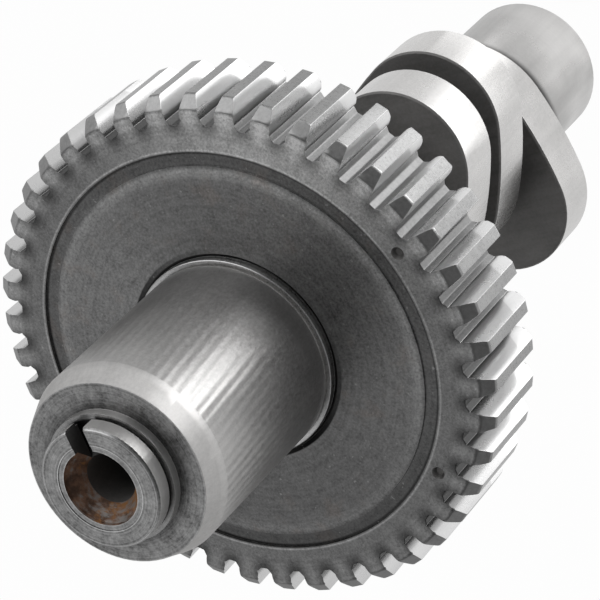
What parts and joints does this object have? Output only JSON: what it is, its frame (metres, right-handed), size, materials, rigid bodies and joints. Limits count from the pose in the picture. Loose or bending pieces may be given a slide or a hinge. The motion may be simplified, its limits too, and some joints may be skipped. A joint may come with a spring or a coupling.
{
  "type": "camshaft",
  "caption": "One-piece steel shaft with offset valve lobes between two ground journals, and a straight-toothed drive gear pressed onto a seat behind the long front journal.",
  "frame": {"origin": "centre of the rear end face, on the shaft axis", "axes": "+Z along the shaft axis from the rear end to the nose, +X through the drive notch in the nose"},
  "size_m": [0.0698, 0.0698, 0.1286],
  "materials": {
    "camshaft": "ground and satin, with darker turned side faces",
    "cam_gear": "case hardened, mottled dark grey web, lighter ground teeth"
  },
  "bodies": {
    "root": {"camshaft": "camshaft", "cam_gear": "cam_gear"}
  },
  "joints": []
}
